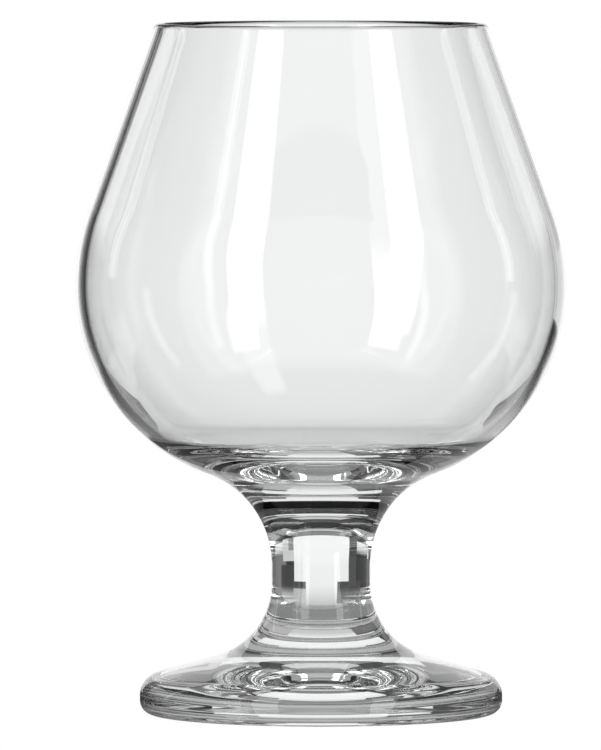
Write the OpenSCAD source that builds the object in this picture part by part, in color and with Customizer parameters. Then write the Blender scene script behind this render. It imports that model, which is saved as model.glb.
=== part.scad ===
// Brandy snifter in clear glass: a blown bowl, a short solid stem and a pressed foot.
// The three are fused end to end at flat round faces, all on one upright axis.
// Each piece is its half section turned round that axis, and every curve of a
// section is a true arc that runs smoothly into the next line or arc.
// Millimetres. The foot stands on the table at z = 0.

/* [Bowl] */
// Outside diameter at the rim
mouth_d = 60; // [48:1:70]
// Outside diameter at the widest level
belly_d = 88; // [80:1:104]
// Height of the rim above the widest level
rim_h = 47; // [40:1:60]
// Radius of the outside curve above the widest level
shoulder_r = 40; // [32:1:44]
// Radius of the outside curve below the widest level
under_r = 36; // [30:1:40]
// Thickness of the rounded rim
rim_t = 1.9; // [1.2:0.1:3]
// Thickness of the wall at the widest level
belly_t = 1.7; // [0.8:0.1:2.4]
// Thickness that the wall grows towards below the widest level
under_t = 2; // [1.2:0.1:3]
// Radius of the corner between the wall and the floor inside
corner_r = 12; // [6:0.5:16]
// Radius of the dished floor inside
floor_r = 125; // [70:5:300]
// Solid glass between the inside floor and the joint with the stem
floor_t = 11.4; // [9.4:0.2:14]

/* [Stem] */
// Diameter at the waist, its thinnest stretch
waist_d = 17.7; // [12:0.1:22]
// Length of the straight waist
waist_h = 3.2; // [1:0.1:12]
// Radius of the curve from the waist up to the bowl
rise_r = 17.6; // [14:0.2:21]
// Height from the waist up to the joint with the bowl
rise_h = 7.8; // [5.4:0.2:12]
// Height from the waist down to the joint with the foot
drop_h = 7; // [3:0.2:10]

/* [Foot] */
// Diameter of the foot
foot_d = 65.2; // [56:0.2:80]
// Height of the waist's lower end above the table
waist_z = 23.5; // [20:0.5:32]
// Radius of the curve from the waist down to the foot's slope
spread_r = 13.7; // [11:0.1:16]
// Radius of the edge's upper curve
edge_r = 4.2; // [2:0.1:6]
// Height of the straight edge
edge_h = 0.7; // [0.2:0.1:3]
// Radius of the edge's lower curve
heel_r = 2.5; // [1:0.1:4]
// Width of the flat ring that the foot stands on
ring_w = 3.1; // [1.5:0.1:6]
// Depth of the hollow under the foot
hollow_h = 2; // [0.5:0.1:4]

/* [Hidden] */
$fn = 180;
clear_glass = [0.86, 0.89, 0.90, 0.6];
// Overrun that carries each cut past the face it opens
cut_over = 1;
// How far slices of one section lap over each other in height
lap = 0.4;
// How deep a line or arc is sunk into the arc that it runs into, so that they cross cleanly
bite = 0.001;
// Levels are rounded to this, so that slices meet exactly
grain = 0.001;

mouth_r = mouth_d / 2;
belly_r = belly_d / 2;
waist_r = waist_d / 2;
foot_r = foot_d / 2;

// A height on the grain
function level(z) = round(z / grain) * grain;

// Where a shape's surface lies at a distance and an angle from its centre
function spot(centre, reach, angle) = centre + reach * [cos(angle), sin(angle)];

// The point at a distance from one point on the line through another
function along(from, through, reach) = from + reach * (through - from) / norm(through - from);

// Angle of the square to a line that touches two circles. The step runs from the
// lower circle's centre to the upper one's, and the gap is measured across the line.
function lean(step, gap) = atan2(step[1], step[0]) - acos(gap / norm(step));

// The outer of the two points that lie at given distances from a lower and an upper centre
function nested(low, low_reach, high, high_reach) =
    let (
        step = low - high,
        span = norm(step),
        down = (high_reach ^ 2 - low_reach ^ 2 + span ^ 2) / (2 * span),
        across = sqrt(high_reach ^ 2 - down ^ 2)
    )
    high + (down * step + across * [-step[1], step[0]]) / span;

// Levels above the table
edge_z = heel_r + edge_h;
foot_top_z = waist_z - drop_h;
waist_top_z = waist_z + waist_h;
bowl_bottom_z = waist_top_z + rise_h;
floor_z = bowl_bottom_z + floor_t;

// Stem and foot: the rise and the spread are hollow curves centred outside the glass
rise_c = [waist_r + rise_r, waist_top_z];
spread_c = [waist_r + spread_r, waist_z];
edge_c = [foot_r - edge_r, edge_z];
heel_c = [foot_r - heel_r, heel_r];
slope_lean = lean(spread_c - edge_c, edge_r + spread_r);
slope_low = spot(edge_c, edge_r - bite, slope_lean);
slope_high = spot(spread_c, bite - spread_r, slope_lean);
slope_end = along(slope_low, slope_high, norm(slope_high - slope_low) + lap);

// The hollow under the foot is part of a ball that passes through the ring's inner edge
hollow_r = foot_r - heel_r - ring_w;
hollow_ball_r = (hollow_r ^ 2 + hollow_h ^ 2) / (2 * hollow_h);

// Bowl, outside: the widest level is where the under curve just touches the rise
under_x = belly_r - under_r;
belly_z = level(waist_top_z + sqrt((under_r + rise_r - bite) ^ 2 - (rise_c[0] - under_x) ^ 2));
under_c = [under_x, belly_z];
shoulder_c = [belly_r - shoulder_r, belly_z];
rise_end = along(rise_c, under_c, rise_r);
rim_r = rim_t / 2;
rim_c = [mouth_r - rim_r, belly_z + rim_h - rim_r];
outer_lean = lean(rim_c - shoulder_c, shoulder_r - rim_r);
outer_low = spot(shoulder_c, shoulder_r - bite, outer_lean);
outer_high = spot(rim_c, rim_r - bite, outer_lean);

// Bowl, inside: the corner just touches both the under curve and the dished floor
inside_shoulder_r = shoulder_r - belly_t;
inside_under_r = under_r - under_t;
inside_under_c = [belly_r - belly_t - inside_under_r, belly_z];
floor_c = [0, floor_z + floor_r];
corner_c = nested(
    inside_under_c, inside_under_r - corner_r + bite, floor_c, floor_r - corner_r + bite
);
corner_end = along(inside_under_c, corner_c, inside_under_r);
floor_end = along(floor_c, corner_c, floor_r);
inner_lean = lean(rim_c - shoulder_c, inside_shoulder_r + rim_r - 2 * bite);
inner_low = spot(shoulder_c, inside_shoulder_r - bite, inner_lean);
inner_high = spot(rim_c, bite - rim_r, inner_lean);

// Upright band from the axis out to a reach, between two levels
module band(low_z, high_z, reach) {
    translate([0, level(low_z)]) square([reach, level(high_z) - level(low_z)]);
}

// Half section that swells outward along an arc, between two levels
module swell(centre, radius, low_z, high_z) {
    fill_low_z = max(low_z, centre[1] - radius);
    fill_high_z = min(high_z, centre[1] + radius);
    intersection() {
        band(low_z, high_z, centre[0] + radius + cut_over);
        union() {
            translate(centre) circle(radius);
            if (centre[0] > 0) band(fill_low_z, fill_high_z, centre[0]);
        }
    }
}

// Half section that is drawn in along an arc, between two levels
module draw_in(centre, radius, low_z, high_z) {
    difference() {
        band(low_z, high_z, centre[0]);
        translate(centre) circle(radius);
    }
}

// Solid outside of the bowl, from the joint up to the middle of the rim
module bowl_body_section() {
    draw_in(rise_c, rise_r, bowl_bottom_z, rise_end[1]);
    swell(under_c, under_r, rise_end[1] - lap, belly_z);
    swell(shoulder_c, shoulder_r, belly_z, outer_low[1] + lap);
    polygon([[0, outer_low[1]], outer_low, outer_high, inner_high, [0, inner_high[1]]]);
}

// Room inside the bowl, from the floor up past the mouth
module bowl_room_section() {
    above = [0, cut_over];
    swell(floor_c, floor_r, floor_z - cut_over, floor_end[1]);
    swell(corner_c, corner_r, floor_end[1] - lap, corner_end[1] + lap);
    swell(inside_under_c, inside_under_r, corner_end[1], belly_z);
    swell(shoulder_c, inside_shoulder_r, belly_z, inner_low[1] + lap);
    polygon([
        [0, inner_low[1]], inner_low, inner_high,
        inner_high + above, [0, inner_high[1]] + above
    ]);
}

module bowl() {
    color(clear_glass) rotate_extrude() {
        difference() {
            bowl_body_section();
            bowl_room_section();
        }
        translate(rim_c) circle(rim_r);
    }
}

module stem() {
    color(clear_glass) rotate_extrude() {
        draw_in(spread_c, spread_r, foot_top_z, waist_z);
        band(waist_z, waist_top_z, waist_r);
        draw_in(rise_c, rise_r, waist_top_z, bowl_bottom_z);
    }
}

// Solid foot, from the table up to the joint with the stem
module foot_body_section() {
    swell(heel_c, heel_r, 0, heel_r);
    band(heel_r, edge_z, foot_r);
    swell(edge_c, edge_r, edge_z, slope_low[1] + lap);
    polygon([[0, slope_low[1]], slope_low, slope_end, [0, slope_end[1]]]);
    draw_in(spread_c, spread_r, slope_high[1], foot_top_z);
}

module foot() {
    color(clear_glass) rotate_extrude() difference() {
        foot_body_section();
        intersection() {
            translate([0, hollow_h - hollow_ball_r]) circle(hollow_ball_r);
            band(-cut_over, hollow_h + cut_over, foot_r);
        }
    }
}

bowl();
stem();
foot();
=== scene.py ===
"""Brandy snifter in clear glass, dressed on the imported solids.

Every piece is lathed from its own half section, in the same sizes as the solids.
A section is a list of stretches. Within a stretch the surface is smooth, and a
stretch that is a fused joint lets light pass unbent into the next piece.
"""

import math

import bmesh
import bpy
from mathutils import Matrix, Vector


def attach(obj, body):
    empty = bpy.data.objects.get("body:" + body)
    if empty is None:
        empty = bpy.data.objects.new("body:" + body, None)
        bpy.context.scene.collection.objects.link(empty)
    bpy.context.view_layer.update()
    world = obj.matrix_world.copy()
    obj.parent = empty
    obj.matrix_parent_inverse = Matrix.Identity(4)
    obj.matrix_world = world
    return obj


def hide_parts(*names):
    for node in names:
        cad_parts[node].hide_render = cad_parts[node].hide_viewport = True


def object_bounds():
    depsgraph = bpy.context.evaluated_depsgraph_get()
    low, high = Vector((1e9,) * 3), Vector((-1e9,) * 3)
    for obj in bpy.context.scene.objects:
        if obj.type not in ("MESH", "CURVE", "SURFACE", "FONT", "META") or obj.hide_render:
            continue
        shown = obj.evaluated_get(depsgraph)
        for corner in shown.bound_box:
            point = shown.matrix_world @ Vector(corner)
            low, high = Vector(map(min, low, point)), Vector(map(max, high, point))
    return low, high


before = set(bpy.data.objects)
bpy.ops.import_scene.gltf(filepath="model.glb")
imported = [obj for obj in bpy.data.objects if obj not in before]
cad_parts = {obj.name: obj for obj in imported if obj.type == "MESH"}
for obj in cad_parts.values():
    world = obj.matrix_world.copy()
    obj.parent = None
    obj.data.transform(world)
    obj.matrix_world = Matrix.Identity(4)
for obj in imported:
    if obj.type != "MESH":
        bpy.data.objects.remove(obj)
cad_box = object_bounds()
MM = 0.001

# Sizes of the glass in millimetres, as in the solids
MOUTH_D, BELLY_D, RIM_H = 60, 88, 47
SHOULDER_R, UNDER_R = 40, 36
RIM_T, BELLY_T, UNDER_T = 1.9, 1.7, 2
CORNER_R, FLOOR_R, FLOOR_T = 12, 125, 11.4
WAIST_D, WAIST_H, RISE_R, RISE_H, DROP_H = 17.7, 3.2, 17.6, 7.8, 7
FOOT_D, WAIST_Z, SPREAD_R = 65.2, 23.5, 13.7
EDGE_R, EDGE_H, HEEL_R, RING_W, HOLLOW_H = 4.2, 0.7, 2.5, 3.1, 2

# Sides of every turned piece, and the longest steps along its section in millimetres
AROUND = 192
JOINT_STEP, DISH_STEP = 2.5, 0.9
RISE_STEP, UNDER_STEP, SHOULDER_STEP, WALL_STEP, RIM_STEP = 0.5, 0.7, 0.9, 1.6, 0.14
INSIDE_STEP, CORNER_STEP = 0.6, 0.3
STEM_STEP, WAIST_STEP = 0.35, 0.4
RING_STEP, HEEL_STEP, SIDE_STEP, EDGE_STEP, SLOPE_STEP = 0.6, 0.2, 0.3, 0.25, 0.9
# How far an arc's points are drawn towards its ends
EASE = 0.6
# Points nearer than this are one point, and a point nearer the axis lies on it
SAME, ON_AXIS = 1e-4, 1e-6


def polar(centre, reach, angle):
    """Point at a distance and an angle from a centre."""
    return (centre[0] + reach * math.cos(angle), centre[1] + reach * math.sin(angle))


def angle_of(centre, point):
    """Angle of a point round a centre, between minus and plus half a turn."""
    return math.atan2(point[1] - centre[1], point[0] - centre[0])


def inward_angle(centre, point):
    """The same angle between none and a whole turn, for arcs centred outside the glass."""
    return angle_of(centre, point) % (2 * math.pi)


def arc(centre, radius, start, end, step):
    """Points along an arc between two angles, closer together near both ends."""
    count = max(3, math.ceil(abs(end - start) * radius / step))
    shares = [(1 - math.cos(math.pi * i / count)) / 2 for i in range(count + 1)]
    even = [i / count for i in range(count + 1)]
    return [
        polar(centre, radius, start + (end - start) * (EASE * a + (1 - EASE) * b))
        for a, b in zip(shares, even)
    ]


def line(start, end, step):
    """Points along a straight line, evenly spaced."""
    count = max(1, math.ceil(math.dist(start, end) / step))
    return [
        (start[0] + (end[0] - start[0]) * i / count, start[1] + (end[1] - start[1]) * i / count)
        for i in range(count + 1)
    ]


def lean(low, high, gap):
    """Angle of the square to a line that touches two circles."""
    step = (high[0] - low[0], high[1] - low[1])
    return math.atan2(step[1], step[0]) - math.acos(gap / math.hypot(*step))


def joined(*runs):
    """One stretch from runs that meet end to end."""
    points = []
    for run in runs:
        points += [p for p in run if not points or math.dist(points[-1], p) > SAME]
    return points


def level_out(gap, radius):
    """The other short side of a right triangle."""
    return math.sqrt(radius**2 - gap**2)


def nested(low, low_reach, high, high_reach):
    """The outer of the two points at given distances from two centres."""
    step = (low[0] - high[0], low[1] - high[1])
    span = math.hypot(*step)
    down = (high_reach**2 - low_reach**2 + span**2) / (2 * span)
    across = level_out(down, high_reach)
    return (
        high[0] + (step[0] * down - step[1] * across) / span,
        high[1] + (step[1] * down + step[0] * across) / span,
    )


waist_r, foot_r, belly_r, mouth_r = WAIST_D / 2, FOOT_D / 2, BELLY_D / 2, MOUTH_D / 2
foot_top = WAIST_Z - DROP_H
waist_top = WAIST_Z + WAIST_H
bowl_bottom = waist_top + RISE_H
floor_z = bowl_bottom + FLOOR_T
rise_c = (waist_r + RISE_R, waist_top)
spread_c = (waist_r + SPREAD_R, WAIST_Z)
belly_z = waist_top + level_out(rise_c[0] - (belly_r - UNDER_R), UNDER_R + RISE_R)

# Outer ends of the two fused joints
joint_low = (spread_c[0] - level_out(DROP_H, SPREAD_R), foot_top)
joint_high = (rise_c[0] - level_out(RISE_H, RISE_R), bowl_bottom)


def bowl_section():
    """Joint face, then up the outside, over the rim and down the inside to the floor."""
    under_c = (belly_r - UNDER_R, belly_z)
    shoulder_c = (belly_r - SHOULDER_R, belly_z)
    rim_r = RIM_T / 2
    rim_c = (mouth_r - rim_r, belly_z + RIM_H - rim_r)
    to_rise = angle_of(under_c, rise_c)
    outer = lean(shoulder_c, rim_c, SHOULDER_R - rim_r)
    inner = lean(shoulder_c, rim_c, SHOULDER_R - BELLY_T + rim_r)
    inside_shoulder_r = SHOULDER_R - BELLY_T
    inside_under_r = UNDER_R - UNDER_T
    inside_c = (belly_r - BELLY_T - inside_under_r, belly_z)
    floor_c = (0, floor_z + FLOOR_R)
    corner_c = nested(inside_c, inside_under_r - CORNER_R, floor_c, FLOOR_R - CORNER_R)
    to_corner, floor_end = angle_of(inside_c, corner_c), angle_of(floor_c, corner_c)
    wall_top, wall_end = polar(rim_c, rim_r, outer), polar(rim_c, rim_r, math.pi + inner)
    outside = joined(
        arc(rise_c, RISE_R, inward_angle(rise_c, joint_high), to_rise + math.pi, RISE_STEP),
        arc(under_c, UNDER_R, to_rise, 0, UNDER_STEP),
        arc(shoulder_c, SHOULDER_R, 0, outer, SHOULDER_STEP),
        line(polar(shoulder_c, SHOULDER_R, outer), wall_top, WALL_STEP),
    )
    rim = arc(rim_c, rim_r, outer, math.pi + inner, RIM_STEP)
    inside = joined(
        line(wall_end, polar(shoulder_c, inside_shoulder_r, inner), WALL_STEP),
        arc(shoulder_c, inside_shoulder_r, inner, 0, SHOULDER_STEP),
        arc(inside_c, inside_under_r, 0, to_corner, INSIDE_STEP),
        arc(corner_c, CORNER_R, to_corner, floor_end, CORNER_STEP),
        arc(floor_c, FLOOR_R, floor_end, -math.pi / 2, DISH_STEP),
    )
    inside[-1] = (0, floor_z)
    return [
        ("joint", line((0, bowl_bottom), joint_high, JOINT_STEP)),
        ("glass", joined(outside, rim, inside)),
    ]


def stem_section():
    """Lower joint face, up the side, and the upper joint face."""
    side = joined(
        arc(spread_c, SPREAD_R, inward_angle(spread_c, joint_low), math.pi, STEM_STEP),
        line((waist_r, WAIST_Z), (waist_r, waist_top), WAIST_STEP),
        arc(rise_c, RISE_R, math.pi, inward_angle(rise_c, joint_high), STEM_STEP),
    )
    return [
        ("joint", line((0, foot_top), joint_low, JOINT_STEP)),
        ("glass", side),
        ("joint", line(joint_high, (0, bowl_bottom), JOINT_STEP)),
    ]


def foot_section():
    """Hollow and standing ring, round the edge, up the slope, and the joint face."""
    edge_c = (foot_r - EDGE_R, HEEL_R + EDGE_H)
    heel_c = (foot_r - HEEL_R, HEEL_R)
    ring_r = foot_r - HEEL_R - RING_W
    ball_r = (ring_r**2 + HOLLOW_H**2) / (2 * HOLLOW_H)
    ball_c = (0, HOLLOW_H - ball_r)
    slope = lean(edge_c, spread_c, EDGE_R + SPREAD_R)
    to_joint = inward_angle(spread_c, joint_low)
    hollow = arc(ball_c, ball_r, math.pi / 2, angle_of(ball_c, (ring_r, 0)), DISH_STEP)
    hollow[0] = (0, HOLLOW_H)
    outside = joined(
        line((ring_r, 0), (heel_c[0], 0), RING_STEP),
        arc(heel_c, HEEL_R, -math.pi / 2, 0, HEEL_STEP),
        line((foot_r, HEEL_R), (foot_r, HEEL_R + EDGE_H), SIDE_STEP),
        arc(edge_c, EDGE_R, 0, slope, EDGE_STEP),
        line(polar(edge_c, EDGE_R, slope), polar(spread_c, -SPREAD_R, slope), SLOPE_STEP),
        arc(spread_c, SPREAD_R, slope + math.pi, to_joint, STEM_STEP),
    )
    return [
        ("glass", hollow),
        ("glass", outside),
        ("joint", line(joint_low, (0, foot_top), JOINT_STEP)),
    ]


class Wire:
    """A socket of a material's nodes that can be used in sums."""

    def __init__(self, bench, socket):
        self.bench, self.socket = bench, socket

    def __add__(self, other):
        return self.bench.node("ShaderNodeMath", {"operation": "ADD"}, [self, other])

    def __mul__(self, other):
        return self.bench.node("ShaderNodeMath", {"operation": "MULTIPLY"}, [self, other])


class Bench:
    """The nodes of one material or of the world."""

    def __init__(self, owner):
        owner.use_nodes = True
        self.tree = owner.node_tree
        self.tree.nodes.clear()

    def node(self, kind, settings=None, inputs=None, out=0):
        """Adds a node: its settings first, then the values or links of its sockets."""
        made = self.tree.nodes.new(kind)
        for name, value in (settings or {}).items():
            setattr(made, name, value)
        pairs = inputs.items() if isinstance(inputs, dict) else enumerate(inputs or [])
        for key, value in pairs:
            if isinstance(value, Wire):
                self.tree.links.new(value.socket, made.inputs[key])
            else:
                made.inputs[key].default_value = value
        return Wire(self, made.outputs[out]) if made.outputs else None

    def height_share(self, place, none_at, all_at):
        """Share that grows smoothly from none at one height to one at another."""
        height = self.node("ShaderNodeSeparateXYZ", inputs=[place], out="Z")
        ends = {"From Min": none_at, "From Max": all_at, "To Min": 0.0, "To Max": 1.0}
        smooth = {"interpolation_type": "SMOOTHSTEP"}
        return self.node("ShaderNodeMapRange", smooth, {"Value": height, **ends})

    def blend(self, share, first, second):
        """Colour at a share of the way from one colour to another."""
        inputs = {"Factor": share, "A": first, "B": second}
        return self.node("ShaderNodeMix", {"data_type": "RGBA"}, inputs, out="Result")

    def noise(self, place, scale, detail, roughness=0.5):
        """Smooth random share that varies from place to place."""
        inputs = {"Vector": place, "Scale": scale, "Detail": detail, "Roughness": roughness}
        return self.node("ShaderNodeTexNoise", None, inputs)


TINT, THICK_TINT = (0.985, 0.988, 0.988), (0.955, 0.965, 0.965)
# How much of the colour follows the thickness, and how much of the relief the cords make.
# Unevenness makes the rest.
THICK_SHARE, CORD_SHARE = 0.8, 0.6
# A low share upward draws the cords out
CORD_STRETCH = (1, 1, 0.22)
# Smallest roughness, and how much the film on the surface adds at most
POLISH, FILM = 0.002, 0.012
# Depth of the relief
RELIEF = 0.02 * MM


def clear_glass(name, thick_z, thin_z):
    """Fire-polished clear glass.

    It has faint cords drawn up the wall, and a little more colour where it is thick.
    """
    material = bpy.data.materials.new(name)
    bench = Bench(material)
    place = bench.node("ShaderNodeTexCoord", out="Object")
    thick = bench.height_share(place, thin_z * MM, thick_z * MM)
    stretched = bench.node(
        "ShaderNodeVectorMath", {"operation": "MULTIPLY"}, [place, CORD_STRETCH]
    )
    cords = bench.noise(stretched, scale=55.0, detail=2.0, roughness=0.45)
    swell = bench.noise(place, scale=22.0, detail=1.0)
    film = bench.noise(place, scale=140.0, detail=3.0)
    share = thick * THICK_SHARE + film * (1 - THICK_SHARE)
    height = cords * CORD_SHARE + swell * (1 - CORD_SHARE)
    bump = bench.node(
        "ShaderNodeBump", None, {"Strength": 0.25, "Distance": RELIEF, "Height": height}
    )
    glass = bench.node(
        "ShaderNodeBsdfPrincipled",
        None,
        {
            "Base Color": bench.blend(share, (*TINT, 1), (*THICK_TINT, 1)),
            "Roughness": film * FILM + POLISH,
            "IOR": 1.52,
            "Transmission Weight": 1.0,
            "Normal": bump,
        },
    )
    bench.node("ShaderNodeOutputMaterial", None, {"Surface": glass})
    return material


def fused_joint():
    """The face where two pieces are fused: light goes straight on."""
    material = bpy.data.materials.new("fused_joint")
    bench = Bench(material)
    through = bench.node("ShaderNodeBsdfTransparent", None, {"Color": (1, 1, 1, 1)})
    bench.node("ShaderNodeOutputMaterial", None, {"Surface": through})
    return material


def lathe(name, node, section, glass, joint):
    """Turns a half section round the upright axis into one closed piece."""
    shape = bmesh.new()
    bearings = [2 * math.pi * i / AROUND for i in range(AROUND)]
    turns = [(math.cos(bearing), math.sin(bearing)) for bearing in bearings]
    # The solid's rim ends a hair lower than its true arc, because its arcs are cut into flats
    top = cad_box[1][2]
    previous = None
    for kind, points in section:
        for r, z in points if previous is None else points[1:]:
            height = min(z * MM, top)
            if r < ON_AXIS:
                ring = [shape.verts.new((0, 0, height))]
            else:
                ring = [shape.verts.new((r * c * MM, r * s * MM, height)) for c, s in turns]
            if previous:
                for i in range(AROUND):
                    j = (i + 1) % AROUND
                    if len(previous) == 1:
                        corners = [previous[0], ring[j], ring[i]]
                    elif len(ring) == 1:
                        corners = [previous[i], previous[j], ring[0]]
                    else:
                        corners = [previous[i], previous[j], ring[j], ring[i]]
                    face = shape.faces.new(corners)
                    face.smooth = True
                    face.material_index = 1 if kind == "joint" else 0
            previous = ring
        # A stretch ends in a sharp ring, unless it ends on the axis
        if len(previous) > 1:
            for i in range(AROUND):
                shape.edges.get((previous[i], previous[(i + 1) % AROUND])).smooth = False
    bmesh.ops.recalc_face_normals(shape, faces=shape.faces)
    mesh = bpy.data.meshes.new(name)
    shape.to_mesh(mesh)
    shape.free()
    mesh.materials.append(glass)
    mesh.materials.append(joint)
    piece = bpy.data.objects.new(name, mesh)
    bpy.context.scene.collection.objects.link(piece)
    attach(piece, "root")
    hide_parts(node)


# Piece, its section, and the heights in millimetres between which its thick glass thins out
PIECES = [
    ("bowl", bowl_section(), 36, 60),
    ("stem", stem_section(), 30, 60),
    ("foot", foot_section(), 10, 30),
]
joint = fused_joint()
for node, section, thick_z, thin_z in PIECES:
    glass = clear_glass(f"{node}_glass", thick_z, thin_z)
    lathe(f"glass_{node}", node, section, glass, joint)

camera = bpy.data.objects.new("camera", bpy.data.cameras.new("camera"))
bpy.context.scene.collection.objects.link(camera)
bpy.context.scene.camera = camera
camera.data.lens = 542
camera.data.sensor_width = 36
camera.data.clip_start, camera.data.clip_end = 0.1, 50
camera.location = (0, -2.025, 0.160)
aim = Vector((-0.00368, 0, 0.0609))
camera.rotation_mode = "QUATERNION"
camera.rotation_quaternion = (aim - camera.location).to_track_quat("-Z", "Y")


def glow(name, strength, low=None, fade=(0, 1)):
    """A plain lit surface.

    With a low strength it starts from that, and changes between two shares of its height.
    """
    material = bpy.data.materials.new(name)
    bench = Bench(material)
    colour = (1, 1, 1, 1)
    if low is not None:
        share = bench.height_share(bench.node("ShaderNodeTexCoord", out="Generated"), *fade)
        dim = low / strength
        colour = bench.blend(share, (dim, dim, dim, 1), colour)
    light = bench.node("ShaderNodeEmission", None, {"Color": colour, "Strength": strength})
    bench.node("ShaderNodeOutputMaterial", None, {"Surface": light})
    return material


# Everything of the studio set rides on this and turns with the camera
turntable = bpy.data.objects.new("studio_set", None)
bpy.context.scene.collection.objects.link(turntable)
follow = turntable.constraints.new("LOCKED_TRACK")
follow.target = camera
follow.track_axis = "TRACK_NEGATIVE_Y"
follow.lock_axis = "LOCK_Z"


def panel(name, rows, material, in_view=False):
    """A panel of the studio set, from rows of corners. The camera sees it only if it is in view."""
    mesh = bpy.data.meshes.new(name)
    across = len(rows[0])
    faces = [
        (i, i + 1, i + 1 + across, i + across)
        for row in range(len(rows) - 1)
        for i in range(row * across, (row + 1) * across - 1)
    ]
    mesh.from_pydata([corner for row in rows for corner in row], [], faces)
    mesh.materials.append(material)
    made = bpy.data.objects.new(name, mesh)
    bpy.context.scene.collection.objects.link(made)
    made.parent = turntable
    made.visible_camera = in_view
    return made


def row_of_corners(start, end, reach, height, count):
    """Corners at one distance and height, between two bearings clockwise from straight behind."""
    bearings = [math.radians(start + (end - start) * i / count) for i in range(count + 1)]
    return [(math.sin(bearing) * reach, math.cos(bearing) * reach, height) for bearing in bearings]


# Widest flat of a curved panel in degrees
FLAT_WIDTH = 6


def upright(name, reach, levels, material):
    """An upright curved panel, from its height and two bearings at each level."""
    _, start, end = levels[0]
    count = max(1, math.ceil(abs(end - start) / FLAT_WIDTH))
    panel(name, [row_of_corners(a, b, reach, z, count) for z, a, b in levels], material)


# Distances of the panels from the axis in metres
BEFORE, NEAR, BEHIND, TABLE = 0.345, 0.35, 0.351, 0.36
STRIP, SIDE, FAR, FRONT = 1.0, 1.1, 1.2, 1.5

# Name, bearings, distance, heights and strength of each upright panel. A panel that
# fades has the strength of its lower end and the shares of its height where it changes.
PANELS = [
    ("backdrop", -13, 12, NEAR, -0.19, 0.19, 1.0, 0.6, (0.0, 0.68)),
    ("backdrop_left", -24, -13, NEAR, 0.0, 0.19, 1.0, 0.9, (0.0, 0.4)),
    ("backdrop_right", 12, 23, NEAR, 0.0, 0.19, 1.0, 0.9, (0.0, 0.4)),
    ("backdrop_low_right", 12, 24, NEAR, -0.19, -0.03, 0.5),
    ("backdrop_top", -20, 20, NEAR, 0.19, 0.32, 0.25),
    ("backdrop_high", -25, 25, NEAR, 0.32, 0.6, 0.7),
    ("dark_edge_left", -34, -24, NEAR, -0.02, 0.19, 0.08),
    ("dark_edge_right", 23, 29, NEAR, 0.09, 0.19, 0.3),
    ("pale_edge_right", 23, 38, NEAR, 0.03, 0.09, 0.65),
    ("pale_edge_right_top", 29, 38, NEAR, 0.09, 0.19, 0.65),
    ("dark_foot_left", -42, -13, BEHIND, -0.3, 0.0, 0.05, 0.18, (0.7, 1.0)),
    ("dark_foot_right", 12, 42, BEHIND, -0.3, 0.01, 0.05, 0.45, (0.65, 0.95)),
    ("table_behind", -20, 20, TABLE, -1.4, -0.19, 0.4, 0.8, (0.86, 1.0)),
    ("low_left", -62, -42, BEFORE, -0.12, -0.04, 0.3),
    ("low_right", 42, 62, BEFORE, -0.12, -0.04, 0.3),
    ("far_left", -60, -34, FAR, -0.3, 0.5, 0.8, 0.03, (0.55, 0.8)),
    ("far_right", 34, 58, FAR, -0.3, 0.5, 0.85, 0.2, (0.55, 0.8)),
    ("left_wall", -86, -60, FAR, -0.3, 0.5, 0.15),
    ("right_wall", 58, 86, FAR, -0.3, 0.5, 0.15),
    ("left_side_strip", -66, -62, SIDE, 0.1, 0.9, 1.4),
    ("right_side_strip", 78, 82, SIDE, 0.1, 0.9, 1.4),
    ("room_front", 110, 250, FRONT, -1.4, 1.9, 0.45),
]
for name, start, end, reach, low, high, strength, *fading in PANELS:
    upright(name, reach, [(low, start, end), (high, start, end)], glow(name, strength, *fading))

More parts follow.
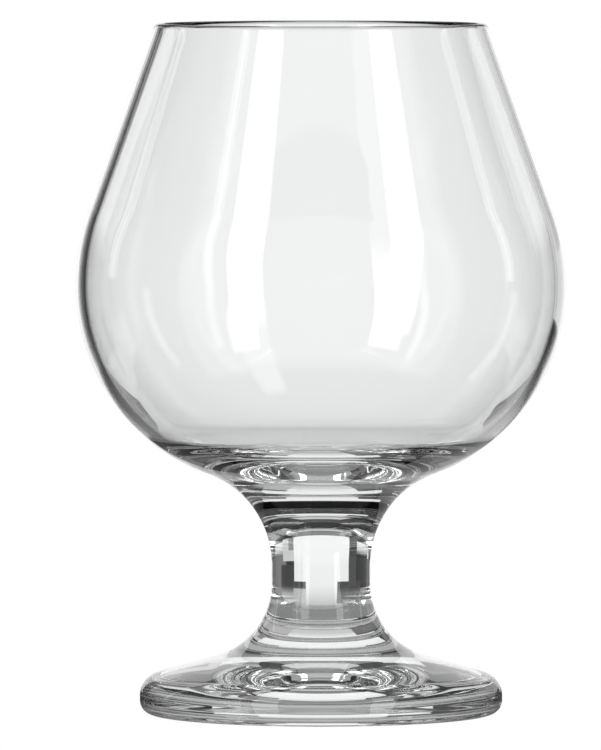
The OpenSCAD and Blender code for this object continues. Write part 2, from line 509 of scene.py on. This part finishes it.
# Name, height and bearings at each level, and strength of each front light, faded the same way
STRIPS = [
    (
        "left_wide_strip",
        [(-1.6, 205, 223), (-0.1, 206, 222), (0.35, 208, 225.5), (0.95, 209, 229)],
        3.0, 1.1, (0.47, 0.65),
    ),
    (
        "left_narrow_strip",
        [(-0.5, 230.5, 235), (0.1, 231, 235), (0.45, 234.5, 239), (1.1, 237.5, 241.5)],
        1.9, 1.3, (0.2, 0.5),
    ),
    (
        "right_wide_strip",
        [(-0.35, 137, 150), (0.2, 133, 149), (0.5, 128, 145), (0.95, 124, 141.5)],
        3.0,
    ),
]
for name, levels, strength, *fading in STRIPS:
    upright(name, STRIP, levels, glow(name, strength, *fading))

# Name, bearings, inner and outer radius and strength of each part of the table under the foot.
# These parts are painted shade: discs that glow dimmer than the white floor as the shadow of the
# glass. They are dim in the hollow, darkest round the edge in front and lighter round it behind,
# and only the glass sees them.
PAINTED_FOOT_SHADOW = [
    ("under_foot_painted_shadow", 0, 360, 0.0001, 0.0295, 0.26),
    ("edge_back_painted_shade", -60, 60, 0.0295, 0.036, 0.5),
    ("edge_front_painted_shade", 60, 300, 0.0295, 0.036, 0.15),
]
UNDER_Z, UNDER_FLATS = -0.0003, 36
# Each part is painted shadow: it glows at its own strength though it is no lamp
for name, start, end, inner, outer, strength in PAINTED_FOOT_SHADOW:
    rows = [row_of_corners(start, end, radius, UNDER_Z, UNDER_FLATS) for radius in (inner, outer)]
    panel(name, rows, glow(name, strength))

# The white floor is only for the camera: the glass sees the panels
FLOOR_HALF, FLOOR_Z = 1.4, -0.0002
corners = [[(x, y, FLOOR_Z) for x in (-FLOOR_HALF, FLOOR_HALF)] for y in (-FLOOR_HALF, FLOOR_HALF)]
floor = panel("floor", corners, glow("floor_white", 1.0), in_view=True)
floor.visible_diffuse = floor.visible_glossy = floor.visible_transmission = False

# White where the camera looks past the set, and nearly dark for the glass
ROOM_LIGHT = 0.03
world = bpy.data.worlds.new("studio")
bpy.context.scene.world = world
room = Bench(world)
looked_at = room.node("ShaderNodeLightPath", out="Is Camera Ray")
strength = looked_at * (1 - ROOM_LIGHT) + ROOM_LIGHT
sky = room.node("ShaderNodeBackground", None, {"Color": (1, 1, 1, 1), "Strength": strength})
room.node("ShaderNodeOutputWorld", None, {"Surface": sky})

scene = bpy.context.scene
scene.view_settings.view_transform = "Standard"
scene.view_settings.look = "None"
scene.cycles.max_bounces = 24
scene.cycles.transmission_bounces = 24
scene.cycles.glossy_bounces = 12
scene.cycles.transparent_max_bounces = 32
scene.cycles.caustics_reflective = True
scene.cycles.caustics_refractive = True
